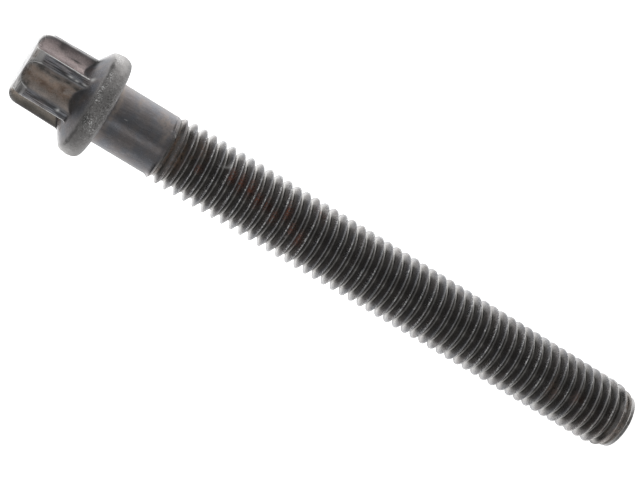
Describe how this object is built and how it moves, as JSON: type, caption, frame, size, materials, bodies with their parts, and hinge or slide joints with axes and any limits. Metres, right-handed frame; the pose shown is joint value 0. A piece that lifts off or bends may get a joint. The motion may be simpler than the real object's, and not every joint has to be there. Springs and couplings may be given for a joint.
{
  "type": "crankshaft pulley bolt",
  "caption": "Long flange bolt with an external six-lobe head, plain shank and metric thread, for holding a belt pulley on a crankshaft.",
  "frame": {"origin": "middle of the threaded end's flat face, on which the bolt stands", "axes": "+Z along the bolt from the threaded end to the head; +X and +Y square to it, with the thread's phase and the lobes turned as in the picture seen from -Y"},
  "size_m": [0.015, 0.015, 0.0979],
  "materials": {
    "dark_steel": "dark phosphated and oiled steel, bright at worn crests and edges, with rust tints"
  },
  "bodies": {
    "root": {"flange_bolt": "dark_steel"}
  },
  "joints": []
}
